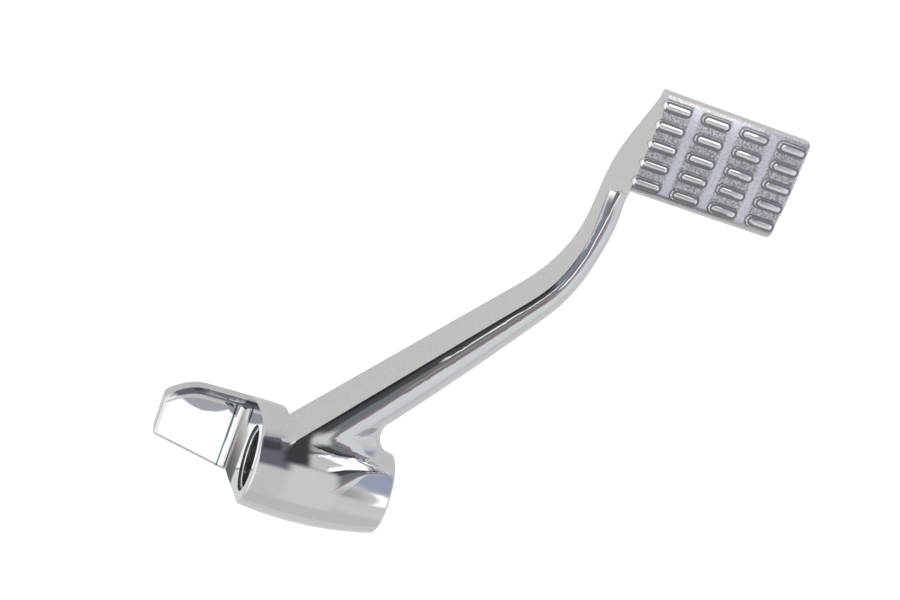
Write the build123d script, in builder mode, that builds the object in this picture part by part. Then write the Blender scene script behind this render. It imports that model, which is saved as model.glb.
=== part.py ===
"""Motorcycle brake pedal: a cast lever with a crowned pivot hub, a half-round arm, a treaded
foot pad and a push tongue below the hub, with two plain bushes pressed into the hub.

Frame, in millimetres: the origin is the middle of the pivot bore. +X points forward, towards the
foot pad, +Y points inboard along the pivot, towards the push tongue, and +Z is the pad's upward side.
"""
from build123d import *
from math import cos, radians, tan
import os

# Pivot hub, a barrel along Y that is fullest a little inboard of its middle
HUB_LENGTH = 53.5
HUB_INBOARD_RADIUS = 17.4
HUB_OUTBOARD_RADIUS = 15.7
HUB_CROWN_RADIUS = 19.15
HUB_CROWN_OFFSET = 4.5
HUB_EDGE_RADIUS = 1.2

# Plain bushes in the hub's bore
BUSH_BORE_RADIUS = 11.0
BUSH_WALL = 1.7
BUSH_LENGTH = 20.0
BUSH_INSET = 0.8
BUSH_MOUTH_BREAK = 0.4

# Arm: half-round section whose flat side is upright and faces inboard
ARM_FLAT_Y = -63.8
ARM_SLANT = 40.3
ARM_CORNER_X = 109.4
ARM_BEND_RADIUS = 55.0
ARM_ROOT_X = 6.0
ARM_END_X = 141.0
ARM_ROOT_HEIGHT = 26.4
ARM_HEIGHT_TAPER = 8.4
ARM_NECK_DROP = 8.0
ARM_ROOT_DEPTH = 19.0
ARM_END_DEPTH = 9.7
ARM_SLIM_SHARE = 0.85
ARM_SECTIONS = 18
ARM_HUB_FILLET = 8.5
SADDLE_LIMIT = 0.6

# Foot pad
PAD_AHEAD = 4.5
PAD_LENGTH = 38.0
PAD_WIDTH = 57.5
PAD_TOP_Z = 26.0
PAD_CROWN = 1.0
PAD_THICKNESS = 8.5
PAD_FRONT_RADIUS = 2.6
PAD_REAR_RADIUS = 3.6
PAD_END_RADIUS = 1.5

# Stalk that turns up from the arm's end to carry the pad: points as (ahead of that end, height)
STALK_FRONT_POINTS = [(14.0, -1.1), (25.4, 6.8), (33.0, 12.9), (40.0, 17.9)]
STALK_REAR_POINTS = [(2.2, 14.6), (6.2, 21.5)]
STALK_TOP_DEPTH = 12.0
STALK_SECTIONS = 9

# Raised tread bars
BAR_COLUMNS = 4
BAR_ROWS = 5
BAR_LENGTH = 10.6
BAR_WIDTH = 3.4
BAR_HEIGHT = 1.5
BAR_COLUMN_PITCH = 15.3
BAR_ROW_PITCH = 7.1
BAR_FIRST_INSET = 4.6

# Lug below the hub
LUG_THICKNESS = 11.5
LUG_FRONT_FOOT = (5.7, -45.5)
LUG_REAR_KNEE = (-22.9, -27.0)
LUG_REAR_FOOT = (-26.0, -45.0)

# Push tongue that stands inboard off the lug's foot
TONGUE_TOP_Z = -43.0
TONGUE_THICKNESS = 9.0
TONGUE_LENGTH = 31.8
TONGUE_ROOT_FRONT_X = 5.5
TONGUE_ROOT_REAR_X = -27.0
TONGUE_TIP_REAR_X = -19.6
TONGUE_CORNER_LENGTH = 15.0
TONGUE_CORNER_SWEEP = 7.2
TONGUE_FRONT_TOP_RADIUS = 4.6
TONGUE_FRONT_BOTTOM_RADIUS = 3.9
TONGUE_REAR_RADIUS = 1.7
TONGUE_TIP_RADIUS = 1.5
TONGUE_SECTIONS = 13
TONGUE_ROOT_FILLET = 2.6

# Half the width of the band in which an edge counts as lying in the plane of the hub's inboard end
SLIVER = 0.01

os.makedirs("parts", exist_ok=True)

hub_inboard_y = HUB_LENGTH / 2
hub_outboard_y = -HUB_LENGTH / 2
seat_radius = BUSH_BORE_RADIUS + BUSH_WALL

# The line of the arm's flat side in plan: straight, one bend, then straight ahead
arm_slope = tan(radians(ARM_SLANT))
root = (ARM_ROOT_X, ARM_FLAT_Y + (ARM_CORNER_X - ARM_ROOT_X) * arm_slope)
with BuildLine() as arm_line:
    FilletPolyline(root, (ARM_CORNER_X, ARM_FLAT_Y), (ARM_END_X, ARM_FLAT_Y), radius=ARM_BEND_RADIUS)
arm_path = arm_line.wire()
bend_share = arm_line.edges().sort_by(Axis.X)[0].length / arm_path.length

# The saddle between arm and hub: no wider than the hub's top leaves room for outboard of the arm
arm_width = ARM_ROOT_DEPTH / cos(radians(ARM_SLANT))
arm_round_y = root[1] - (HUB_CROWN_RADIUS - ARM_ROOT_X) * arm_slope - arm_width
saddle_radius = min(ARM_HUB_FILLET, SADDLE_LIMIT * (arm_round_y - hub_outboard_y))


def eased(share):
    """0 to 1 with a level start and a level end."""
    return share * share * (3 - 2 * share)


def arm_height(share):
    """Height of the arm's section: a steady taper, and a quicker one past the start of the bend."""
    past_bend = max(0.0, (share - bend_share) / (1 - bend_share))
    return ARM_ROOT_HEIGHT - ARM_HEIGHT_TAPER * share - ARM_NECK_DROP * eased(past_bend)


def half_round(across, half_height, depth):
    """A half-round face: its flat side along the plane's y direction, its round side towards +x."""
    with BuildSketch(across) as section:
        with BuildLine():
            EllipticalCenterArc((0, 0), depth, half_height, start_angle=-90, arc_size=180)
            Line((0, half_height), (0, -half_height))
        make_face()
    return section.sketch.face()


def arm_section(share):
    """The half-round section of the arm at a share of its path."""
    ahead = arm_path % share
    across = Plane(origin=arm_path @ share, x_dir=(ahead.Y, -ahead.X, 0), z_dir=ahead)
    slimmed = min(1.0, share / ARM_SLIM_SHARE) ** 2
    depth = ARM_ROOT_DEPTH + (ARM_END_DEPTH - ARM_ROOT_DEPTH) * slimmed
    return half_round(across, arm_height(share) / 2, depth)


# The stalk's two outlines on the flat side, both from the arm's end up into the pad
end_half_height = arm_height(1.0) / 2
with BuildLine(Plane.XZ.offset(-ARM_FLAT_Y)) as stalk_front:
    Spline((ARM_END_X, -end_half_height), *[(ARM_END_X + ahead, z) for ahead, z in STALK_FRONT_POINTS])
with BuildLine(Plane.XZ.offset(-ARM_FLAT_Y)) as stalk_rear:
    Spline((ARM_END_X, end_half_height), *[(ARM_END_X + ahead, z) for ahead, z in STALK_REAR_POINTS])


def stalk_section(share):
    """The half-round section that spans the stalk's two outlines at a share of their length."""
    front = stalk_front.wire() @ share
    rear = stalk_rear.wire() @ share
    upward = (rear - front).normalized()
    across = Plane(origin=(front + rear) / 2, x_dir=(0, -1, 0), z_dir=Vector(0, -1, 0).cross(upward))
    depth = ARM_END_DEPTH + (STALK_TOP_DEPTH - ARM_END_DEPTH) * eased(share)
    return half_round(across, (rear - front).length / 2, depth)


tongue_bottom_z = TONGUE_TOP_Z - TONGUE_THICKNESS
tongue_middle_z = TONGUE_TOP_Z - TONGUE_THICKNESS / 2
tongue_tip_y = hub_inboard_y + TONGUE_LENGTH
tongue_start_y = hub_inboard_y - LUG_THICKNESS


def tongue_section(share):
    """The tongue's section at a share of its length: full-round front, tighter rear edges."""
    y = tongue_start_y + (tongue_tip_y - tongue_start_y) * share
    out = max(0.0, y - hub_inboard_y) / TONGUE_LENGTH
    rear_x = TONGUE_ROOT_REAR_X + (TONGUE_TIP_REAR_X - TONGUE_ROOT_REAR_X) * out
    corner = max(0.0, 1 - (tongue_tip_y - y) / TONGUE_CORNER_LENGTH)
    front_x = TONGUE_ROOT_FRONT_X - TONGUE_CORNER_SWEEP * corner**2
    front_top = (front_x - TONGUE_FRONT_TOP_RADIUS, TONGUE_TOP_Z - TONGUE_FRONT_TOP_RADIUS)
    front_bottom = (front_x - TONGUE_FRONT_BOTTOM_RADIUS, tongue_bottom_z + TONGUE_FRONT_BOTTOM_RADIUS)
    rear_top = (rear_x + TONGUE_REAR_RADIUS, TONGUE_TOP_Z - TONGUE_REAR_RADIUS)
    rear_bottom = (rear_x + TONGUE_REAR_RADIUS, tongue_bottom_z + TONGUE_REAR_RADIUS)
    with BuildSketch(Plane.XZ.offset(-y)) as section:
        with BuildLine():
            Line((rear_bottom[0], tongue_bottom_z), (front_bottom[0], tongue_bottom_z))
            CenterArc(front_bottom, TONGUE_FRONT_BOTTOM_RADIUS, -90, 90)
            Line((front_x, front_bottom[1]), (front_x, front_top[1]))
            CenterArc(front_top, TONGUE_FRONT_TOP_RADIUS, 0, 90)
            Line((front_top[0], TONGUE_TOP_Z), (rear_top[0], TONGUE_TOP_Z))
            CenterArc(rear_top, TONGUE_REAR_RADIUS, 90, 90)
            Line((rear_x, rear_top[1]), (rear_x, rear_bottom[1]))
            CenterArc(rear_bottom, TONGUE_REAR_RADIUS, 180, 90)
        make_face()
    return section.sketch.face()


def end_plane_edges(part):
    """The edges that lie in the plane of the hub's inboard end."""
    low, high = hub_inboard_y - SLIVER, hub_inboard_y + SLIVER
    boxes = [(edge, edge.bounding_box()) for edge in part.edges()]
    return [edge for edge, box in boxes if low < box.min.Y and box.max.Y < high]


pad_rear_x = ARM_END_X + PAD_AHEAD
pad_front_x = pad_rear_x + PAD_LENGTH
pad_middle_x = pad_rear_x + PAD_LENGTH / 2
pad_bottom_z = PAD_TOP_Z - PAD_THICKNESS

with BuildPart() as pedal_lever:
    # Hub barrel
    with BuildSketch(Plane.XY):
        with BuildLine():
            ThreePointArc(
                (-HUB_OUTBOARD_RADIUS, hub_outboard_y),
                (-HUB_CROWN_RADIUS, HUB_CROWN_OFFSET),
                (-HUB_INBOARD_RADIUS, hub_inboard_y),
            )
            Line((-HUB_INBOARD_RADIUS, hub_inboard_y), (0, hub_inboard_y))
            Line((0, hub_inboard_y), (0, hub_outboard_y))
            Line((0, hub_outboard_y), (-HUB_OUTBOARD_RADIUS, hub_outboard_y))
        make_face()
    revolve(axis=Axis.Y)

    # Arm, blended into the hub by a saddle all round
    loft([arm_section(index / (ARM_SECTIONS - 1)) for index in range(ARM_SECTIONS)])
    curved_edges = pedal_lever.edges().filter_by(GeomType.BSPLINE)
    arm_joint = curved_edges.filter_by_position(Axis.X, HUB_CROWN_RADIUS / 2, HUB_CROWN_RADIUS)
    fillet(arm_joint, radius=saddle_radius)

    # Lug that drops from the hub's inboard end
    with BuildSketch(Plane.XZ.offset(-hub_inboard_y)):
        with BuildLine():
            front_top = (HUB_INBOARD_RADIUS, 0)
            rear_top = (-HUB_INBOARD_RADIUS, 0)
            TangentArc(front_top, LUG_FRONT_FOOT, tangent=(0, -1))
            Line(LUG_FRONT_FOOT, (0, tongue_middle_z))
            Line((0, tongue_middle_z), LUG_REAR_FOOT)
            Polyline(LUG_REAR_FOOT, LUG_REAR_KNEE, rear_top, front_top)
        make_face()
    extrude(amount=LUG_THICKNESS)

    # Push tongue
    loft([tongue_section(index / (TONGUE_SECTIONS - 1)) for index in range(TONGUE_SECTIONS)])
    fillet(pedal_lever.faces().sort_by(Axis.Y)[-1].edges(), radius=TONGUE_TIP_RADIUS)

    # The hub's rims; the inboard one runs on down the lug's edges
    fillet(pedal_lever.edges().filter_by(GeomType.CIRCLE).sort_by(Axis.Y)[0], radius=HUB_EDGE_RADIUS)
    root_top_z = TONGUE_TOP_Z + HUB_EDGE_RADIUS
    rim_edges = [edge for edge in end_plane_edges(pedal_lever) if edge.center().Z > root_top_z]
    fillet(rim_edges, radius=HUB_EDGE_RADIUS)

    # Cove between the lug's face and the tongue's top
    with BuildSketch(Plane.YZ.offset(LUG_REAR_FOOT[0] + HUB_EDGE_RADIUS)):
        with BuildLine():
            cove_corner = (hub_inboard_y - HUB_EDGE_RADIUS, TONGUE_TOP_Z - HUB_EDGE_RADIUS)
            cove_out = (hub_inboard_y + TONGUE_ROOT_FILLET, TONGUE_TOP_Z)
            cove_up = (hub_inboard_y, TONGUE_TOP_Z + TONGUE_ROOT_FILLET)
            RadiusArc(cove_out, cove_up, TONGUE_ROOT_FILLET)
            inner, low = cove_corner
            Polyline(cove_up, (inner, cove_up[1]), cove_corner, (cove_out[0], low), cove_out)
        make_face()
    extrude(amount=TONGUE_ROOT_FRONT_X - LUG_REAR_FOOT[0] - TONGUE_FRONT_TOP_RADIUS)

    # Stalk, then the pad plate: crowned along its length, a tight front roll and a fuller rear one
    loft([stalk_section(index / (STALK_SECTIONS - 1)) for index in range(STALK_SECTIONS)])
    with BuildSketch(Plane.XZ.offset(-ARM_FLAT_Y)) as pad_profile:
        with BuildLine():
            ThreePointArc(
                (pad_rear_x, PAD_TOP_Z - PAD_CROWN),
                (pad_middle_x, PAD_TOP_Z),
                (pad_front_x, PAD_TOP_Z - PAD_CROWN),
            )
            Line((pad_front_x, PAD_TOP_Z - PAD_CROWN), (pad_front_x, pad_bottom_z))
            Line((pad_front_x, pad_bottom_z), (pad_rear_x, pad_bottom_z))
            Line((pad_rear_x, pad_bottom_z), (pad_rear_x, PAD_TOP_Z - PAD_CROWN))
        make_face()
        fillet(pad_profile.vertices().group_by(Axis.X)[0], radius=PAD_REAR_RADIUS)
        fillet(pad_profile.vertices().group_by(Axis.X)[-1], radius=PAD_FRONT_RADIUS)
    extrude(amount=PAD_WIDTH)
    fillet(pedal_lever.faces().sort_by(Axis.Y)[0].edges(), radius=PAD_END_RADIUS)

    # Tread bars in rows across the pad, each row at the crowned top's height
    bar_middle_y = ARM_FLAT_Y - BAR_FIRST_INSET - (BAR_COLUMNS - 1) * BAR_COLUMN_PITCH / 2
    for row in range(BAR_ROWS):
        row_x = pad_middle_x + (row - (BAR_ROWS - 1) / 2) * BAR_ROW_PITCH
        row_z = PAD_TOP_Z - PAD_CROWN * ((row_x - pad_middle_x) / (PAD_LENGTH / 2)) ** 2
        with BuildSketch(Plane.XY.offset(row_z - BAR_HEIGHT)):
            with Locations((row_x, bar_middle_y)):
                with GridLocations(BAR_LENGTH, BAR_COLUMN_PITCH, 1, BAR_COLUMNS):
                    SlotOverall(BAR_LENGTH, BAR_WIDTH, rotation=90)
        extrude(amount=2 * BAR_HEIGHT)
    with Locations((pad_middle_x, ARM_FLAT_Y + BAR_LENGTH / 2, PAD_TOP_Z)):
        Box(PAD_LENGTH, BAR_LENGTH, 4 * BAR_HEIGHT, mode=Mode.SUBTRACT)

    # Bore for the bushes, right through the hub
    with BuildSketch(Plane.XZ.offset(-hub_inboard_y)):
        Circle(seat_radius)
    extrude(amount=HUB_LENGTH, mode=Mode.SUBTRACT)

pedal_lever.part.label = "pedal_lever"
export_step(pedal_lever.part, "parts/pedal_lever.step")
print("volume", round(pedal_lever.part.volume), "solids", len(pedal_lever.solids()), pedal_lever.part.is_valid)

with BuildPart() as inboard_bush:
    with BuildSketch(Plane.XZ.offset(BUSH_INSET - hub_inboard_y)):
        Circle(seat_radius)
        Circle(BUSH_BORE_RADIUS, mode=Mode.SUBTRACT)
    extrude(amount=BUSH_LENGTH)
    mouths = inboard_bush.edges().filter_by(GeomType.CIRCLE).sort_by(SortBy.RADIUS)[:2]
    chamfer(mouths, length=BUSH_MOUTH_BREAK)

with BuildPart() as outboard_bush:
    with BuildSketch(Plane.XZ.offset(-(hub_outboard_y + BUSH_INSET + BUSH_LENGTH))):
        Circle(seat_radius)
        Circle(BUSH_BORE_RADIUS, mode=Mode.SUBTRACT)
    extrude(amount=BUSH_LENGTH)
    mouths = outboard_bush.edges().filter_by(GeomType.CIRCLE).sort_by(SortBy.RADIUS)[:2]
    chamfer(mouths, length=BUSH_MOUTH_BREAK)

inboard_bush.part.label = "inboard_bush"
outboard_bush.part.label = "outboard_bush"
export_step(inboard_bush.part, "parts/inboard_bush.step")
export_step(outboard_bush.part, "parts/outboard_bush.step")
for bush in (inboard_bush, outboard_bush):
    box = bush.part.bounding_box()
    print(bush.part.label, round(box.min.Y, 2), round(box.max.Y, 2), bush.part.is_valid)
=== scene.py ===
# %% [markdown]
# A chromed brake pedal for a motorcycle. The real one is a single casting: a crowned hub with two pressed
# bushes, a half-round arm, a treaded foot pad and a push tongue. Its shape comes from the CAD frame, so
# this script gives it its finishes, its rounded tread bars, a camera, a white studio and the things that
# chrome needs to mirror.

# %% Load the frame
import math

import bpy
from mathutils import Matrix, Vector


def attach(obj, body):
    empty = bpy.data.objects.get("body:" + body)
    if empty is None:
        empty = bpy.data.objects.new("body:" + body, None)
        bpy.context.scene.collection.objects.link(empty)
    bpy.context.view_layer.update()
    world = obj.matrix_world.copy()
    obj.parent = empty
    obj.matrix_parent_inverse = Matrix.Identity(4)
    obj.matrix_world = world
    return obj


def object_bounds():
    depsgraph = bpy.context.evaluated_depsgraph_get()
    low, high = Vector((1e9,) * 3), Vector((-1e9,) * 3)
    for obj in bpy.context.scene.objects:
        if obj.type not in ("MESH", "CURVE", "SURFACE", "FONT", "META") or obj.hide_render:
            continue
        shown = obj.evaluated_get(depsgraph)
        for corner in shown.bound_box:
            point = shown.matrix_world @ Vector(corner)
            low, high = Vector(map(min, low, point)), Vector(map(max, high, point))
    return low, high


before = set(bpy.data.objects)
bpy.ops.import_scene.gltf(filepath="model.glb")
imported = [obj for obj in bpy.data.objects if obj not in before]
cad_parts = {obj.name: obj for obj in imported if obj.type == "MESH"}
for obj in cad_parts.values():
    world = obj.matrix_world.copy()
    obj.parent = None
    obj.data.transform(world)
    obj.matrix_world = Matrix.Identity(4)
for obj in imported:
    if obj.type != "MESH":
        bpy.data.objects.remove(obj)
cad_low, cad_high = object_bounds()
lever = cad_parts["pedal_lever"]
bushes = [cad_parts["inboard_bush"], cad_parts["outboard_bush"]]
scene = bpy.context.scene
scene.view_settings.view_transform = "Standard"
print("CAD box, mm:", [round(v * 1000, 1) for v in (*cad_low, *cad_high)])

# %% [markdown]
# The camera looks down on the pedal from above the arm, about twenty degrees off the vertical, and is
# rolled so that the arm climbs to the right. A camera can be aimed with a tracking constraint, but a roll
# is easier to hold with its three axes written out: right, up and back are the columns of its rotation
# matrix.

# %% Camera
camera_place = Vector((0.22832, 0.12726, 0.52693))
camera_right = Vector((0.35133, -0.92118, 0.16734))
camera_up = Vector((0.90002, 0.28305, -0.33144))
camera_back = camera_right.cross(camera_up).normalized()

camera_data = bpy.data.cameras.new("photo_camera")
camera_data.lens = 61.2
camera_data.sensor_width = 36.0
camera_data.clip_start = 0.02
camera_data.clip_end = 50.0
camera = bpy.data.objects.new("photo_camera", camera_data)
turn = Matrix((camera_right, camera_up, camera_back)).transposed()
camera.matrix_world = Matrix.Translation(camera_place) @ turn.to_4x4()
scene.collection.objects.link(camera)
scene.camera = camera
print("camera to hub, mm:", round(camera_place.length * 1000))

# %% [markdown]
# Node trees are built from the same few steps again and again: add a node, feed it numbers or links, pass
# its output on. These helpers do one step each, so that a material below reads like a recipe.

# %% Helpers for node trees
MM = 0.001
SQUARE = ((-1, -1), (1, -1), (1, 1), (-1, 1))


def add_node(tree, kind, inputs=None, **settings):
    """A node of this kind. Inputs, by name or number, may be plain values or the outputs of other nodes."""
    node = tree.nodes.new(kind)
    for name, value in settings.items():
        setattr(node, name, value)
    for name, value in (inputs or {}).items():
        if isinstance(value, bpy.types.NodeSocket):
            tree.links.new(value, node.inputs[name])
        else:
            node.inputs[name].default_value = value
    return node


def calc(tree, operation, *values):
    """One Math node with this operation."""
    return add_node(tree, "ShaderNodeMath", dict(enumerate(values)), operation=operation).outputs[0]


def rise(tree, value, start, end):
    """0 before start, 1 past end, with a soft S between them. It falls where end is below start."""
    low, high = min(start, end), max(start, end)
    soft = add_node(
        tree,
        "ShaderNodeMapRange",
        {"Value": value, "From Min": low, "From Max": high},
        interpolation_type="SMOOTHSTEP",
    ).outputs["Result"]
    return soft if end > start else calc(tree, "SUBTRACT", 1.0, soft)


def hill(tree, value, low, high, soft):
    """1 between low and high, 0 outside, with soft sides."""
    up = rise(tree, value, low - soft, low + soft)
    down = rise(tree, value, high + soft, high - soft)
    return calc(tree, "MULTIPLY", up, down)


def all_of(tree, *masks):
    """Masks multiplied together."""
    whole = masks[0]
    for mask in masks[1:]:
        whole = calc(tree, "MULTIPLY", whole, mask)
    return whole


def blend_colours(tree, share, first, second):
    """first where share is 0, second where it is 1."""
    node = add_node(tree, "ShaderNodeMix", {0: share}, data_type="RGBA")
    for index, value in ((6, first), (7, second)):
        if isinstance(value, bpy.types.NodeSocket):
            tree.links.new(value, node.inputs[index])
        else:
            node.inputs[index].default_value = (*value, 1.0)
    return node.outputs[2]


def new_material(name):
    """A material with a Principled BSDF and nothing else: returns the material, its tree and the shader."""
    material = bpy.data.materials.new(name)
    material.use_nodes = True
    tree = material.node_tree
    tree.nodes.clear()
    shader = tree.nodes.new("ShaderNodeBsdfPrincipled")
    output = tree.nodes.new("ShaderNodeOutputMaterial")
    tree.links.new(shader.outputs["BSDF"], output.inputs["Surface"])
    return material, tree, shader


# %% [markdown]
# The pedal is shown on plain white. The floor is a pale sheet just under the tongue. To the camera it
# glows a more than to anything else, which takes it to white and leaves a faint shadow where the pedal
# stands.

# %% Floor
floor_gap = 0.5 * MM
floor_half = 3.0
floor_z = cad_low.z - floor_gap
floor_glow = 0.42
extra_for_camera = 0.4
floor_mesh = bpy.data.meshes.new("floor")
floor_mesh.from_pydata([(x * floor_half, y * floor_half, floor_z) for x, y in SQUARE], [], [(0, 1, 2, 3)])
floor = bpy.data.objects.new("floor", floor_mesh)
scene.collection.objects.link(floor)

sheet, sheet_tree, sheet_shader = new_material("white_sheet")
sheet_shader.inputs["Base Color"].default_value = (0.5, 0.5, 0.5, 1)
sheet_shader.inputs["Roughness"].default_value = 0.95
sheet_shader.inputs["Specular IOR Level"].default_value = 0.0
sheet_shader.inputs["Emission Color"].default_value = (1, 1, 1, 1)
seen_by = add_node(sheet_tree, "ShaderNodeLightPath")
glow = calc(sheet_tree, "MULTIPLY_ADD", seen_by.outputs["Is Camera Ray"], extra_for_camera, floor_glow)
sheet_tree.links.new(glow, sheet_shader.inputs["Emission Strength"])
floor_mesh.materials.append(sheet)
print("floor at", round(floor_z * 1000, 1), "mm")

# %% [markdown]
# Chrome has no colour of its own: it shows the room. The far room is the world, drawn by direction.
# Azimuth is 0 outboard, 90 forward and -90 to the rear. Most of it is an even light grey, as white cloth
# gives. The wall on the outboard side is shaded by height. Forward of it come a bluish panel with a white
# edge and then a dark one, and the inboard side is bright. The camera itself sees plain white.

# %% World
world = bpy.data.worlds.new("studio")
scene.world = world
world.use_nodes = True
room = world.node_tree
room.nodes.clear()
direction = add_node(room, "ShaderNodeTexCoord").outputs["Generated"]
along = add_node(room, "ShaderNodeSeparateXYZ", {0: direction}).outputs
outboard = calc(room, "MULTIPLY", along["Y"], -1.0)
azimuth = calc(room, "DEGREES", calc(room, "ARCTAN2", along["X"], outboard))
height = calc(room, "DEGREES", calc(room, "ARCSINE", along["Z"]))

# The outboard wall's shades climb towards the rear, so its heights are counted from a sloping line
WALL_LINE = 33.5
WALL_CLIMB = 0.33
turned = add_node(room, "ShaderNodeClamp", {"Value": azimuth, "Min": -60.0, "Max": 5.0}).outputs[0]
line = calc(room, "MULTIPLY_ADD", turned, -WALL_CLIMB, WALL_LINE)
above = calc(room, "SUBTRACT", height, line)

WALL_LOW, WALL_HIGH = -120.0, 30.0
wall_stops = [
    (-120, (1.0, 1.0, 1.0)),
    (-95, (1.0, 1.0, 1.0)),
    (-80, (0.86, 0.86, 0.88)),
    (-62, (0.74, 0.75, 0.77)),
    (-50, (0.66, 0.68, 0.70)),
    (-42, (0.80, 0.83, 0.86)),
    (-34, (0.94, 0.97, 1.00)),
    (-10, (0.90, 0.91, 0.92)),
    (30, (0.82, 0.83, 0.83)),
]
ramp_span = {"Value": above, "From Min": WALL_LOW, "From Max": WALL_HIGH}
ramp_place = add_node(room, "ShaderNodeMapRange", ramp_span).outputs[0]
wall = add_node(room, "ShaderNodeValToRGB", {0: ramp_place})
steps = wall.color_ramp.elements
while len(steps) < len(wall_stops):
    steps.new(0.5)
for step, (place, colour) in zip(steps, wall_stops):
    step.position = (place - WALL_LOW) / (WALL_HIGH - WALL_LOW)
    step.color = (*colour, 1.0)

# Each panel is a window of azimuths and heights, with the softness of its sides, and a colour
panels = [
    ("inboard, forward", (140, 200, 4), (-40, 78, 8), (1.35, 1.35, 1.35)),
    ("inboard, rear", (-200, -122, 8), (-40, 78, 8), (1.35, 1.35, 1.35)),
    ("even low rear", (-110, -54, 8), (-25, 34, 6), (0.76, 0.77, 0.77)),
    ("dim roof", (-15, 55, 10), (60, 78, 5), (0.56, 0.54, 0.54)),
    ("bluish", (24, 60, 8), (5, 52, 8), (0.50, 0.53, 0.70)),
    ("white edge", (62, 67, 1.5), (-5, 46, 5), (1.9, 1.9, 1.9)),
    ("white arc", (-22, 22, 6), (49, 54, 1.5), (1.7, 1.7, 1.7)),
    ("dark shoulder", (50, 84, 4), (50, 70, 4), (0.24, 0.26, 0.29)),
    ("dark", (79, 134, 3), (-24, 70, 6), (0.20, 0.21, 0.24)),
    ("darkest", (90, 106, 4), (10, 36, 8), (0.08, 0.09, 0.10)),
]
EVEN_GREY = (0.82, 0.83, 0.83)
wall_share = hill(room, azimuth, -58.0, 12.0, 7.0)
shown = blend_colours(room, wall_share, EVEN_GREY, wall.outputs["Color"])
for _, (left, right, side_soft), (low, high, end_soft), colour in panels:
    within_sides = hill(room, azimuth, left, right, side_soft)
    within_ends = hill(room, height, low, high, end_soft)
    shown = blend_colours(room, all_of(room, within_sides, within_ends), shown, colour)

camera_sees = add_node(room, "ShaderNodeLightPath").outputs["Is Camera Ray"]
shown = blend_colours(room, camera_sees, shown, (1.0, 1.0, 1.0))
light = add_node(room, "ShaderNodeBackground", {"Color": shown, "Strength": 1.0})
add_node(room, "ShaderNodeOutputWorld", {"Surface": light.outputs[0]})
print("room:", len(wall_stops), "steps in the outboard wall,", len(panels), "panels")

# %% [markdown]
# A photographer puts cards close to chrome, because a near card shows in one part and not in the next.
# All of these are seen by mirror rays alone, so they light nothing and cast no shadow, and their backs
# are clear. A flat card is given by its middle and the spot that it faces.


# %% Plain cards
def card_object(name, points, faces, faces_spot, strength, tint=(1.0, 1.0, 1.0)):
    """A stage mesh that glows towards a spot, given in millimetres, and that only reflections see."""
    corner, second, third = (Vector(points[index]) for index in faces[0][:3])
    if (second - corner).cross(third - second).dot(Vector(faces_spot) * MM - corner) < 0:
        faces = [face[::-1] for face in faces]
    mesh = bpy.data.meshes.new(name)
    mesh.from_pydata(points, [], faces)
    card = bpy.data.objects.new(name, mesh)
    scene.collection.objects.link(card)
    card.visible_camera = False
    card.visible_diffuse = False
    card.visible_shadow = False
    card.visible_transmission = False
    glow = bpy.data.materials.new(name)
    glow.use_nodes = True
    tree = glow.node_tree
    tree.nodes.clear()
    lamp = add_node(tree, "ShaderNodeEmission", {"Color": (*tint, 1.0), "Strength": strength})
    clear = add_node(tree, "ShaderNodeBsdfTransparent")
    back = add_node(tree, "ShaderNodeNewGeometry").outputs["Backfacing"]
    sided = add_node(tree, "ShaderNodeMixShader", {0: back, 1: lamp.outputs[0], 2: clear.outputs[0]})
    add_node(tree, "ShaderNodeOutputMaterial", {"Surface": sided.outputs[0]})
    mesh.materials.append(glow)
    return card, tree, lamp, sided


def flat_card(name, middle, faces_spot, width, length, strength, tint=(1.0, 1.0, 1.0)):
    """A rectangle in millimetres. Its width lies level and its length runs up its slope."""
    centre = Vector(middle) * MM
    towards = (Vector(faces_spot) * MM - centre).normalized()
    level = towards.cross(Vector((0, 0, 1))).normalized()
    slope = level.cross(towards)
    half_w, half_l = width * MM / 2, length * MM / 2
    points = [centre + level * a * half_w + slope * b * half_l for a, b in SQUARE]
    card_object(name, points, [(0, 1, 2, 3)], faces_spot, strength, tint)


PAD_MIDDLE = (165, -95, 27)
flat_card("tread_white", (210, -95, 74), PAD_MIDDLE, 66, 62, 2.0)
flat_card("tread_grey", (112, -98, 62), PAD_MIDDLE, 60, 40, 0.30, (0.95, 0.95, 1.0))
print("pad cards: a white one ahead and a grey one behind")

# %% [markdown]
# Other cards are painted. Each is a fine grid whose points carry a colour and, as its alpha, a cover:
# where the cover falls to 0 the card fades away, so no hard edge shows in the chrome. Two such patches
# hang over the hub.


# %% Painted cards
def on_path(path, x):
    """The path's value at x, straight between its points."""
    for (x0, value0), (x1, value1) in zip(path, path[1:]):
        if x <= x1:
            return value0 + (value1 - value0) * max(0.0, (x - x0) / (x1 - x0))
    return path[-1][1]


def eased(value):
    """A soft S from 0 to 1."""
    value = min(1.0, max(0.0, value))
    return value * value * (3 - 2 * value)


def painted_card(name, rows, faces_spot):
    """A card of rows of (spot in millimetres, colour, cover). Where the cover is 0 it can't be seen."""
    spots = [spot for row in rows for spot in row]
    width = len(rows[0])
    starts = [i * width + j for i in range(len(rows) - 1) for j in range(width - 1)]
    faces = [(first, first + 1, first + width + 1, first + width) for first in starts]
    points = [spot * MM for spot, _, _ in spots]
    card, tree, lamp, sided = card_object(name, points, faces, faces_spot, 1.0)
    layer = card.data.color_attributes.new("paint", "FLOAT_COLOR", "POINT")
    for index, (_, colour, cover) in enumerate(spots):
        layer.data[index].color = (*colour, cover)
    paint = add_node(tree, "ShaderNodeAttribute", attribute_name="paint")
    bare = calc(tree, "SUBTRACT", 1.0, paint.outputs["Alpha"])
    back = sided.inputs[0].links[0].from_socket
    tree.links.new(paint.outputs["Color"], lamp.inputs["Color"])
    tree.links.new(calc(tree, "MAXIMUM", back, bare), sided.inputs[0])


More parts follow.
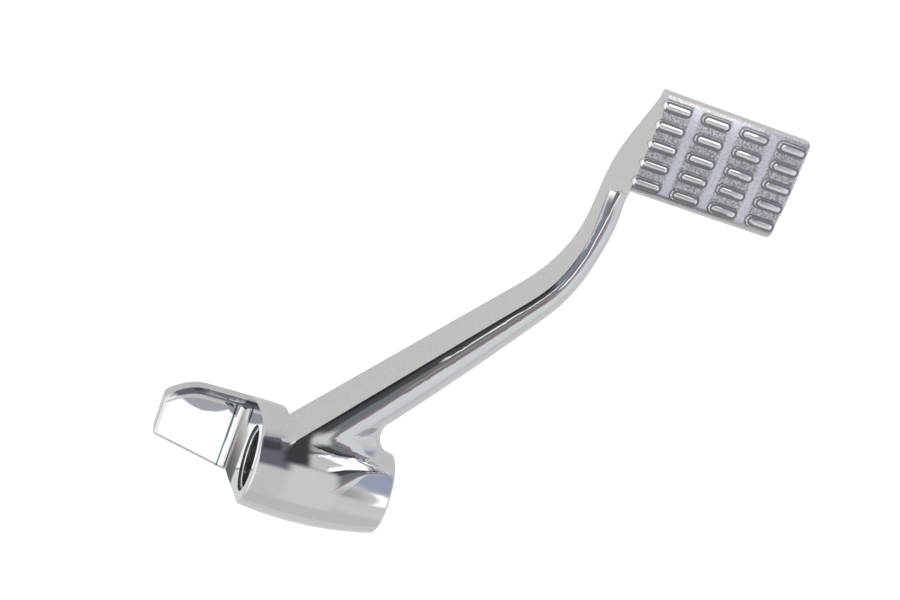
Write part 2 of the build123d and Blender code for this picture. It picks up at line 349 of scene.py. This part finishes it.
def soft_patch(name, x_span, y_span, z, soft, colour):
    """A level patch above the hub, facing down, that fades out over its last few millimetres."""

    def spot(x, y):
        edge_x = min(x - x_span[0], x_span[1] - x)
        edge_y = min(y - y_span[0], y_span[1] - y)
        return Vector((x, y, z)), colour, eased(edge_x / soft) * eased(edge_y / soft)

    across, along_hub = range(x_span[0], x_span[1] + 1), range(y_span[0], y_span[1] + 1)
    painted_card(name, [[spot(x, y) for x in across] for y in along_hub], (x_span[0], y_span[0], 0))


soft_patch("hub_light", (-14, 18), (-10, 16), 24, 5, (0.92, 0.92, 0.92))
soft_patch("root_dark", (9, 25), (5, 19), 18, 3.5, (0.07, 0.072, 0.08))
print("hub patches: a light one over the crown and a dark one over the arm's root")

# %% [markdown]
# The tongue's top is a plane mirror. A card for it is drawn as it should be seen there, in the top's own
# X and Y, and is then lifted 40 mm along the mirrored line of sight. White covers most of it, and its
# curved edge leaves a grey crescent along the front. An upright card close to the lug shades it from dark
# at the rear to light in front.

# %% Tongue cards
TONGUE_TOP_Z = -43
TONGUE_MIDDLE = (-8, 45, TONGUE_TOP_Z)
SIGHT_FROM_TONGUE = Vector((-0.37, -0.14, 0.917))
LIFT = 40


def lifted_card(name, outline, strength, tint=(1.0, 1.0, 1.0)):
    """A card that the tongue's top mirrors with this outline."""
    points = [(Vector((x, y, TONGUE_TOP_Z)) + SIGHT_FROM_TONGUE * LIFT) * MM for x, y in outline]
    card_object(name, points, [tuple(range(len(points)))], TONGUE_MIDDLE, strength, tint)


crescent = [(0.4, 56), (-2.3, 50.5), (-3.5, 46.9), (-4.2, 43.3)]
crescent += [(-3.7, 39.8), (-3.0, 36.6), (-1.3, 33.4), (1, 30.5)]
lifted_card("tongue_white", [(-36, 20), (-36, 66), (1, 66)] + crescent + [(2, 20)], 2.0)
lifted_card("tongue_grey", crescent[::-1] + [(8, 56), (8, 30)], 0.62, (0.9, 0.94, 1.0))

LUG_CARD_X = (-34, 3)
LUG_CARD_Y = 27.6
LUG_CARD_Z = (-42, -19)
LUG_TINT = Vector((1.0, 0.97, 0.93))
LUG_SHADES = [(-34, 0.13), (-20, 0.18), (-15, 0.25), (-11, 0.36), (-7, 0.50), (-3, 0.66), (3, 0.85)]


def lug_spot(x, z):
    """A spot of the lug's card with its shade. The card fades out towards its front and its top."""
    cover = eased((LUG_CARD_X[1] - x) / 4) * eased((LUG_CARD_Z[1] - z) / 5)
    return Vector((x, LUG_CARD_Y, z)), LUG_TINT * on_path(LUG_SHADES, x), cover


lug_across = range(LUG_CARD_X[0], LUG_CARD_X[1] + 1)
lug_up = range(LUG_CARD_Z[0], LUG_CARD_Z[1] + 1)
painted_card("lug_shade", [[lug_spot(x, z) for x in lug_across] for z in lug_up], (-16, 0, -30))
print("tongue cards: lifted", LIFT, "mm")

# %% [markdown]
# The arm's round side mirrors a long card that is bent round it like a gutter, 26 mm away. A spot on the
# gutter is given by how far along the arm it is (the row's X, in mm) and by its angle above the level. It
# is painted in strokes, each a path of such spots with a half width and a softness in degrees. The card's
# points are a millimetre and a degree apart. It fades out at the hub, over 9 mm low down and over 2 mm
# past the angle where its fade turns, so that the dark paint reaches the hub.

# %% Gutter card beside the arm
CREASE = [(6, 23.9, 13.2), (38, -3.2, 12.1), (70, -30.6, 11.0), (94, -51.0, 10.2), (102, -56.3, 9.5)]
CREASE += [(110.4, -60.3, 8.4), (118.5, -62.7, 7.2), (126.5, -63.7, 6.1)]
CREASE += [(134, -63.8, 5.4), (150, -63.8, 5.0)]
GUTTER_RADIUS = 26.0
GUTTER_X = (17, 140)
GUTTER_ANGLES = (8, 62)
GUTTER_GROUND = (0.9, 0.9, 0.92)
STROKE_END = 4
RUN_REACH = 7
LONG_FADE, SHORT_FADE = 9, 2
FADE_TURN, FADE_TURN_OVER = 32, 6

strokes = [
    ("shade", (0.27, 0.25, 0.26), [(15, 44), (150, 44)], 18, 0.8),
    (
        "light wall",
        (0.98, 1.00, 1.01),
        [(0, 6), (22, 12), (50, 16), (80, 16), (104, 12), (130, 10)],
        10,
        1.2,
    ),
    ("mauve", (0.36, 0.30, 0.33), [(15, 26), (50, 29), (90, 30), (104, 27), (136, 27)], 3.5, 1.5),
    ("grey", (0.24, 0.27, 0.29), [(15, 38), (50, 40)], 8, 3.0),
    ("dark", (0.10, 0.10, 0.105), [(10, 53), (40, 54.5), (118, 56)], 8, 1.5),
    ("darkest", (0.035, 0.035, 0.045), [(10, 60), (118, 60)], 3.0, 1.5),
    ("slit", (2.0, 1.97, 1.97), [(62, 48.7), (86, 48.4), (96, 48), (110, 43.5)], 1.2, 0.8),
    ("faint line", (0.52, 0.54, 0.60), [(48, 34), (66, 36.2), (82, 38.5), (96, 38.5), (112, 33)], 1.2, 1.0),
    ("bend grey", (0.33, 0.36, 0.42), [(103, 52), (146, 52)], 8, 3.0),
    ("bend mauve", (0.45, 0.40, 0.46), [(98, 27), (134, 27)], 5, 1.5),
    (
        "bend white",
        (1.9, 1.9, 1.95),
        [(103, 34.5), (110, 33.5), (118, 36.2), (124, 40), (130, 37), (135, 28), (142, 14)],
        1.9,
        1.0,
    ),
    ("bend roof", (1.0, 1.0, 1.02), [(118, 58), (127, 61.5), (134, 58), (144, 56)], 2.0, 1.2),
    ("end white", (1.8, 1.8, 1.8), [(135, 52), (146, 52)], 9, 2.0),
]


def paint_at(x, angle):
    """The colour of the gutter there, with the strokes laid over each other in turn."""
    colour = Vector(GUTTER_GROUND)
    for _, paint, path, half, soft in strokes:
        across = eased((half + soft - abs(angle - on_path(path, x))) / (2 * soft))
        ends = eased((x - path[0][0]) / STROKE_END) * eased((path[-1][0] - x) / STROKE_END)
        colour = colour.lerp(Vector(paint), across * ends)
    return colour


def crease_at(x):
    """The spot of the arm's crease line at this X."""
    y = on_path([(a, b) for a, b, _ in CREASE], x)
    z = on_path([(a, c) for a, _, c in CREASE], x)
    return Vector((x, y, z))


def gutter_spot(x, angle):
    """A spot of the gutter with its paint and cover. The crease's direction is smoothed by RUN_REACH."""
    run = crease_at(x + RUN_REACH) - crease_at(x - RUN_REACH)
    away = Vector((run.y, -run.x, 0)).normalized()
    lift = math.radians(angle)
    spot = crease_at(x) + (away * math.cos(lift) + Vector((0, 0, 1)) * math.sin(lift)) * GUTTER_RADIUS
    fade = LONG_FADE - (LONG_FADE - SHORT_FADE) * eased((angle - FADE_TURN) / FADE_TURN_OVER)
    return spot, paint_at(x, angle), eased((x - GUTTER_X[0]) / fade)


gutter_angles = range(GUTTER_ANGLES[0], GUTTER_ANGLES[1] + 1)
gutter_stations = range(GUTTER_X[0], GUTTER_X[1] + 1)
gutter_rows = [[gutter_spot(x, angle) for angle in gutter_angles] for x in gutter_stations]
painted_card("arm_gutter", gutter_rows, crease_at(GUTTER_X[0]))
print("gutter:", len(gutter_rows), "painted rows,", len(strokes), "strokes")

# %% [markdown]
# Two surface effects are shared by the finishes, so each is a node group. Cast grain is the skin that
# sand leaves on metal no wheel has reached. Haze is the faint unevenness of hand polishing. Both read the
# piece's own coordinates, so they stay on the metal from every side.


# %% Shared surface effects
def effect_group(name, inputs, outputs):
    """An empty shader node group with these sockets. Returns the tree and its two end nodes."""
    tree = bpy.data.node_groups.new(name, "ShaderNodeTree")
    for label, default in inputs.items():
        kind = "NodeSocketVector" if label == "Place" else "NodeSocketFloat"
        socket = tree.interface.new_socket(label, in_out="INPUT", socket_type=kind)
        if default is not None:
            socket.default_value = default
    for label in outputs:
        tree.interface.new_socket(label, in_out="OUTPUT", socket_type="NodeSocketFloat")
    return tree, tree.nodes.new("NodeGroupInput"), tree.nodes.new("NodeGroupOutput")


def make_cast_grain():
    """Fine pits and lumps: Height for a bump and Fleck for the light and dark specks they make."""
    sockets = {"Place": None, "Grain Size": 0.5 * MM}
    tree, given, made = effect_group("cast_grain", sockets, ["Height", "Fleck"])
    per_metre = calc(tree, "DIVIDE", 1.0, given.outputs["Grain Size"])
    fine = add_node(
        tree,
        "ShaderNodeTexNoise",
        {"Vector": given.outputs["Place"], "Scale": per_metre, "Detail": 3.0, "Roughness": 0.6},
    ).outputs[0]
    pits = add_node(
        tree,
        "ShaderNodeTexVoronoi",
        {"Vector": given.outputs["Place"], "Scale": per_metre},
        feature="SMOOTH_F1",
    ).outputs["Distance"]
    both = calc(tree, "ADD", calc(tree, "MULTIPLY", fine, 0.7), calc(tree, "MULTIPLY", pits, 0.3))
    tree.links.new(both, made.inputs["Height"])
    tree.links.new(rise(tree, fine, 0.32, 0.68), made.inputs["Fleck"])
    return tree


def make_haze():
    """Broad, soft patches from 0 to 1, as hand polishing and handling leave."""
    tree, given, made = effect_group("polish_haze", {"Place": None, "Patch Size": 14 * MM}, ["Haze"])
    per_metre = calc(tree, "DIVIDE", 1.0, given.outputs["Patch Size"])
    patches = add_node(
        tree,
        "ShaderNodeTexNoise",
        {"Vector": given.outputs["Place"], "Scale": per_metre, "Detail": 4.0, "Roughness": 0.62},
    ).outputs[0]
    tree.links.new(rise(tree, patches, 0.35, 0.75), made.inputs["Haze"])
    return tree


cast_grain = make_cast_grain()
polish_haze = make_haze()


def place_group(tree, group, **inputs):
    """The group in this tree, with its inputs given by name."""
    node = add_node(tree, "ShaderNodeGroup")
    node.node_tree = group
    for name, value in inputs.items():
        socket = node.inputs[name.replace("_", " ").title()]
        if isinstance(value, bpy.types.NodeSocket):
            tree.links.new(value, socket)
        else:
            socket.default_value = value
    return node.outputs


print("shared effects:", [group.name for group in bpy.data.node_groups])

# %% [markdown]
# The lever is one piece with four finishes. The round side, hub and tongue are mirror chrome. The flat
# side of the arm, the side of the stalk and the hub's front keep the satin cast skin under the chrome.
# The pad's ground is coarser, like leather, and smoother along the channels between the bars. The bore
# between the bushes is bare, and painted dark as shade deep in the recess. One material holds all four,
# and tells them apart by place and by which way a face points.

# %% Lever finish, satin skin
chrome, tree, shader = new_material("lever_chrome")
shader.inputs["Metallic"].default_value = 1.0

coordinates = add_node(tree, "ShaderNodeTexCoord")
place = coordinates.outputs["Object"]
at = add_node(tree, "ShaderNodeSeparateXYZ", {0: place}).outputs
faces = add_node(tree, "ShaderNodeSeparateXYZ", {0: coordinates.outputs["Normal"]}).outputs

# Satin cast skin: upright faces that look inboard, and the hub's front between arm and rim
upright = calc(tree, "ABSOLUTE", faces["Z"])
flat_side = all_of(
    tree,
    rise(tree, faces["Y"], 0.55, 0.65),
    rise(tree, upright, 0.16, 0.08),
    rise(tree, at["X"], 8 * MM, 11 * MM),
    rise(tree, at["Y"], 24 * MM, 22 * MM),
)
ARM_FLAT_START = 23.9 * MM
arm_slope = math.tan(math.radians(40.3))
flat_line = calc(tree, "MULTIPLY_ADD", at["X"], -arm_slope, ARM_FLAT_START + 6 * MM * arm_slope)
inboard_of_arm = calc(tree, "SUBTRACT", at["Y"], flat_line)
hub_front = all_of(
    tree,
    rise(tree, faces["X"], 0.62, 0.86),
    rise(tree, inboard_of_arm, -4 * MM, -1 * MM),
    rise(tree, at["Y"], 26.2 * MM, 25.2 * MM),
    rise(tree, at["Z"], -30 * MM, -20 * MM),
    rise(tree, at["Z"], 10.6 * MM, 9.6 * MM),
)
satin = calc(tree, "MAXIMUM", flat_side, hub_front)
print("satin skin: flat side of the arm and front of the hub")

# %% [markdown]
# The pad's ground knows where the bars stand. Counting columns from the first and rows from the middle
# one, and taking the nearest whole number away, tells how far a point is from its bar. A bar is a run
# with two round ends, so the distance from its spine places the painted shade, a dark seam, round its foot.

# %% Lever finish, pad ground
PAD_TOP = 26 * MM
FIRST_COLUMN_Y = -68.4 * MM
COLUMN_PITCH = 15.3 * MM
ROW_PITCH = 7.1 * MM
PAD_MIDDLE_X = 164.5 * MM
tread = all_of(
    tree,
    rise(tree, at["Z"], PAD_TOP - 3.0 * MM, PAD_TOP - 1.6 * MM),
    rise(tree, faces["Z"], 0.55, 0.85),
    rise(tree, at["X"], 140 * MM, 141 * MM),
)
columns_on = calc(tree, "DIVIDE", calc(tree, "SUBTRACT", FIRST_COLUMN_Y, at["Y"]), COLUMN_PITCH)
from_column = calc(tree, "ABSOLUTE", calc(tree, "SUBTRACT", columns_on, calc(tree, "ROUND", columns_on)))
channel = rise(tree, from_column, 0.35, 0.43)
rows_on = calc(tree, "DIVIDE", calc(tree, "SUBTRACT", at["X"], PAD_MIDDLE_X), ROW_PITCH)
nearest = calc(tree, "ROUND", rows_on)
row = add_node(tree, "ShaderNodeClamp", {"Value": nearest, "Min": -2.0, "Max": 2.0}).outputs[0]
from_row = calc(tree, "MULTIPLY", calc(tree, "SUBTRACT", rows_on, row), ROW_PITCH)
past_end = calc(tree, "SUBTRACT", calc(tree, "MULTIPLY", from_column, COLUMN_PITCH), 3.6 * MM)
past_end = calc(tree, "MAXIMUM", past_end, 0.0)
row_squared = calc(tree, "MULTIPLY", from_row, from_row)
from_spine = calc(tree, "SQRT", calc(tree, "MULTIPLY_ADD", past_end, past_end, row_squared))
# Painted shade: a dark seam on the ground round the foot of each bar
bar_foot_shade = rise(tree, from_spine, 2.5 * MM, 2.15 * MM)
rear_strip = rise(tree, at["X"], 148.4 * MM, 147.2 * MM)
front_strip = rise(tree, at["X"], 180.6 * MM, 181.8 * MM)
print("pad ground, mm between columns and rows:", round(COLUMN_PITCH / MM, 1), round(ROW_PITCH / MM, 1))

# %% [markdown]
# Two small things are left: a thin line of painted shade in the corner at the tongue's root, and the bare
# wall of the bore between the bushes, painted dark as shade in the recess. Then the colours are laid over
# each other, each where its own mask is 1.

# %% Lever finish, colours
# Painted shade: a thin dark line in the corner at the tongue's root
root_corner_shade = all_of(
    tree,
    hill(tree, at["Y"], 29.7 * MM, 30.4 * MM, 0.25 * MM),
    rise(tree, at["Z"], -43.6 * MM, -43.2 * MM),
    rise(tree, at["Z"], -41.5 * MM, -42.0 * MM),
)
x_squared = calc(tree, "MULTIPLY", at["X"], at["X"])
from_axis = calc(tree, "SQRT", calc(tree, "MULTIPLY_ADD", at["Z"], at["Z"], x_squared))
in_bore = rise(tree, from_axis, 12.95 * MM, 12.8 * MM)
# The bore's wall is bare, and also painted dark as shade deep in the recess
bare_shaded_bore = all_of(tree, in_bore, rise(tree, at["Y"], 27 * MM, 26.6 * MM))

skin = place_group(tree, cast_grain, place=place, grain_size=0.45 * MM)
leather = place_group(tree, cast_grain, place=place, grain_size=0.8 * MM)
haze = place_group(tree, polish_haze, place=place)["Haze"]

mirror_colour = blend_colours(tree, haze, (0.615, 0.62, 0.632), (0.59, 0.595, 0.605))
satin_colour = blend_colours(tree, skin["Fleck"], (0.58, 0.575, 0.565), (0.71, 0.705, 0.69))
ground_dark = blend_colours(tree, leather["Fleck"], (0.25, 0.245, 0.27), (0.62, 0.61, 0.65))
ground_light = blend_colours(tree, leather["Fleck"], (0.54, 0.55, 0.63), (0.68, 0.69, 0.76))
ground_colour = blend_colours(tree, channel, ground_dark, ground_light)
ground_colour = blend_colours(tree, rear_strip, ground_colour, (0.55, 0.545, 0.56))
pink_strip = blend_colours(tree, leather["Fleck"], (0.38, 0.355, 0.365), (0.56, 0.54, 0.55))
ground_colour = blend_colours(tree, front_strip, ground_colour, pink_strip)
# Painted shade round the foot of each bar
ground_colour = blend_colours(tree, bar_foot_shade, ground_colour, (0.20, 0.195, 0.22))
colour = blend_colours(tree, satin, mirror_colour, satin_colour)
colour = blend_colours(tree, tread, colour, ground_colour)
# Painted shade in the corner at the tongue's root
colour = blend_colours(tree, root_corner_shade, colour, (0.04, 0.09, 0.10))
# The bare bore, painted dark as shade in the recess
colour = blend_colours(tree, bare_shaded_bore, colour, (0.10, 0.13, 0.13))
tree.links.new(colour, shader.inputs["Base Color"])
print("lever colours: mirror, satin, pad ground, root line and bore")

# %% [markdown]
# Roughness follows the same masks. The relief is a fine bump of a few hundredths of a millimetre: cast
# skin on the satin faces, and a leathery ground on the pad that is calmer in the channels.

# %% Lever finish, roughness and relief
roughness = calc(tree, "MULTIPLY_ADD", haze, 0.035, 0.04)
for mask, value in ((satin, 0.42), (tread, 0.30), (bare_shaded_bore, 0.5)):
    keep = calc(tree, "MULTIPLY", roughness, calc(tree, "SUBTRACT", 1.0, mask))
    roughness = calc(tree, "MULTIPLY_ADD", mask, value, keep)
tree.links.new(roughness, shader.inputs["Roughness"])

skin_relief = all_of(tree, skin["Height"], satin)
ground_relief = all_of(tree, leather["Height"], tread, calc(tree, "MULTIPLY_ADD", channel, -0.6, 1.0))
relief = calc(tree, "MULTIPLY_ADD", ground_relief, 3.0, skin_relief)
bump = add_node(tree, "ShaderNodeBump", {"Height": relief, "Distance": 0.03 * MM, "Strength": 1.0})
tree.links.new(bump.outputs["Normal"], shader.inputs["Normal"])

lever.data.materials.clear()
lever.data.materials.append(chrome)
print("lever finish:", len(tree.nodes), "nodes")

# %% [markdown]
# The bushes are turned steel: bright, with fine rings round the bore. A wave texture along the bore's
# axis gives the rings their bump without any extra mesh.

# %% Bush finish
steel, tree, shader = new_material("bush_steel")
shader.inputs["Metallic"].default_value = 1.0
place = add_node(tree, "ShaderNodeTexCoord").outputs["Object"]
haze = place_group(tree, polish_haze, place=place, patch_size=5 * MM)["Haze"]
rings = add_node(
    tree,
    "ShaderNodeTexWave",
    {"Vector": place, "Scale": 900.0, "Distortion": 1.5, "Detail": 2.0, "Detail Scale": 1.5},
    bands_direction="Y",
)
steel_colour = blend_colours(tree, haze, (0.66, 0.68, 0.68), (0.52, 0.55, 0.55))
tree.links.new(steel_colour, shader.inputs["Base Color"])
tree.links.new(calc(tree, "MULTIPLY_ADD", haze, 0.12, 0.16), shader.inputs["Roughness"])
ring_bump = add_node(tree, "ShaderNodeBump", {"Height": rings.outputs["Fac"], "Distance": 0.004 * MM})
tree.links.new(ring_bump.outputs["Normal"], shader.inputs["Normal"])
for bush in bushes:
    bush.data.materials.clear()
    bush.data.materials.append(steel)

# %% [markdown]
# The tread is four columns of five bars, and the real bars are pills with upright sides and rounded tops.
# The CAD bars are plain slots with square edges. Here each gets a rounded cover, a hair larger. One pill
# is a sphere whose two halves are moved apart, and Geometry Nodes set it out over the crowned pad.


# %% Tread bars as a node tree
def tread_tree():
    """Rows and columns of pills on the pad's crowned top."""
    tree = bpy.data.node_groups.new("tread_bars", "GeometryNodeTree")
    sizes = {
        "Column Pitch": COLUMN_PITCH,
        "Row Pitch": ROW_PITCH,
        "Bar Length": 11.3 * MM,
        "Bar Width": 4.1 * MM,
        "Bar Height": 1.7 * MM,
        "Crown": 1.0 * MM,
        "Half Length": 19.0 * MM,
        "Top": PAD_TOP,
        "Middle X": PAD_MIDDLE_X,
        "Middle Y": FIRST_COLUMN_Y - 1.5 * COLUMN_PITCH,
    }
    for name, default in sizes.items():
        socket = tree.interface.new_socket(name, in_out="INPUT", socket_type="NodeSocketFloat")
        socket.default_value = default
    for name, default in {"Columns": 4, "Rows": 5}.items():
        socket = tree.interface.new_socket(name, in_out="INPUT", socket_type="NodeSocketInt")
        socket.default_value = default
    tree.interface.new_socket("Finish", in_out="INPUT", socket_type="NodeSocketMaterial")
    tree.interface.new_socket("Geometry", in_out="OUTPUT", socket_type="NodeSocketGeometry")
    given = tree.nodes.new("NodeGroupInput").outputs
    made = tree.nodes.new("NodeGroupOutput")

    def position_parts():
        position = add_node(tree, "GeometryNodeInputPosition").outputs[0]
        return add_node(tree, "ShaderNodeSeparateXYZ", {0: position}).outputs

    def moved(geometry, x, y, z):
        target = add_node(tree, "ShaderNodeCombineXYZ", {0: x, 1: y, 2: z}).outputs[0]
        inputs = {"Geometry": geometry, "Position": target}
        return add_node(tree, "GeometryNodeSetPosition", inputs).outputs[0]

    # One pill: a unit sphere with its poles at the ends, pulled apart and given a fuller top
    ball = add_node(tree, "GeometryNodeMeshUVSphere", {"Segments": 28, "Rings": 15, "Radius": 1.0})
    laid = add_node(
        tree, "GeometryNodeTransform", {"Geometry": ball.outputs["Mesh"], "Rotation": (math.pi / 2, 0, 0)}
    ).outputs[0]
    part = position_parts()
    half_width = calc(tree, "MULTIPLY", given["Bar Width"], 0.5)
    half_run = calc(tree, "MULTIPLY", calc(tree, "SUBTRACT", given["Bar Length"], given["Bar Width"]), 0.5)
    ends = calc(tree, "MULTIPLY", calc(tree, "SIGN", part["Y"]), half_run)
    fuller = calc(tree, "POWER", calc(tree, "ABSOLUTE", part["Z"]), 0.9)
    pill = moved(
        laid,
        calc(tree, "MULTIPLY", part["X"], half_width),
        calc(tree, "MULTIPLY_ADD", part["Y"], half_width, ends),
        all_of(tree, fuller, calc(tree, "SIGN", part["Z"]), given["Bar Height"]),
    )

    # The grid of places, let down a little towards the pad's two ends
    row_gaps = calc(tree, "SUBTRACT", given["Rows"], 1.0)
    column_gaps = calc(tree, "SUBTRACT", given["Columns"], 1.0)
    grid_inputs = {
        "Size X": calc(tree, "MULTIPLY", row_gaps, given["Row Pitch"]),
        "Size Y": calc(tree, "MULTIPLY", column_gaps, given["Column Pitch"]),
        "Vertices X": given["Rows"],
        "Vertices Y": given["Columns"],
    }
    grid = add_node(tree, "GeometryNodeMeshGrid", grid_inputs)
    part = position_parts()
    share = calc(tree, "DIVIDE", part["X"], given["Half Length"])
    drop = all_of(tree, share, share, given["Crown"])
    spots = moved(
        grid.outputs["Mesh"],
        calc(tree, "ADD", part["X"], given["Middle X"]),
        calc(tree, "ADD", part["Y"], given["Middle Y"]),
        calc(tree, "SUBTRACT", given["Top"], drop),
    )

    copies = add_node(tree, "GeometryNodeInstanceOnPoints", {"Points": spots, "Instance": pill}).outputs[0]
    real = add_node(tree, "GeometryNodeRealizeInstances", {0: copies}).outputs[0]
    smooth = add_node(tree, "GeometryNodeSetShadeSmooth", {"Geometry": real}).outputs[0]
    painted = add_node(tree, "GeometryNodeSetMaterial", {"Geometry": smooth, "Material": given["Finish"]})
    tree.links.new(painted.outputs[0], made.inputs["Geometry"])
    return tree


# %% Bar finish
bar_chrome, tree, shader = new_material("bar_chrome")
shader.inputs["Metallic"].default_value = 1.0
place = add_node(tree, "ShaderNodeTexCoord").outputs["Object"]
at = add_node(tree, "ShaderNodeSeparateXYZ", {0: place}).outputs
haze = place_group(tree, polish_haze, place=place, patch_size=4 * MM)["Haze"]
crown_share = calc(tree, "DIVIDE", calc(tree, "SUBTRACT", at["X"], PAD_MIDDLE_X), 19.0 * MM)
ground_z = calc(tree, "MULTIPLY_ADD", calc(tree, "MULTIPLY", crown_share, crown_share), -1.0 * MM, PAD_TOP)
up_the_bar = calc(tree, "SUBTRACT", at["Z"], ground_z)
# The bar's top is polished; its foot is rougher and painted dark, as shade where the bar meets the ground
polish_and_foot_shade = rise(tree, up_the_bar, -0.05 * MM, 0.25 * MM)
top_colour = blend_colours(tree, haze, (0.70, 0.70, 0.715), (0.60, 0.60, 0.615))
# Painted shade at each bar's foot, below the polished top's colour
tree.links.new(blend_colours(tree, polish_and_foot_shade, (0.16, 0.155, 0.17), top_colour), shader.inputs["Base Color"])
tree.links.new(calc(tree, "MULTIPLY_ADD", polish_and_foot_shade, -0.26, 0.36), shader.inputs["Roughness"])


# %% Tread bars as a mesh
def plain_mesh_from(tree, name, values):
    """Runs a Geometry Nodes tree on an empty mesh and returns its result as a plain mesh object."""
    host = bpy.data.objects.new(name, bpy.data.meshes.new(name))
    scene.collection.objects.link(host)
    modifier = host.modifiers.new(name, "NODES")
    modifier.node_group = tree
    for item in tree.interface.items_tree:
        if item.item_type == "SOCKET" and item.in_out == "INPUT" and item.name in values:
            modifier[item.identifier] = values[item.name]
    shown = host.evaluated_get(bpy.context.evaluated_depsgraph_get())
    result = bpy.data.meshes.new_from_object(shown)
    host.modifiers.clear()
    host.data = result
    result.name = name
    return host


bars = plain_mesh_from(tread_tree(), "tread_bars", {"Finish": bar_chrome})
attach(bars, "root")
print("tread bars:", len(bars.data.polygons), "faces")
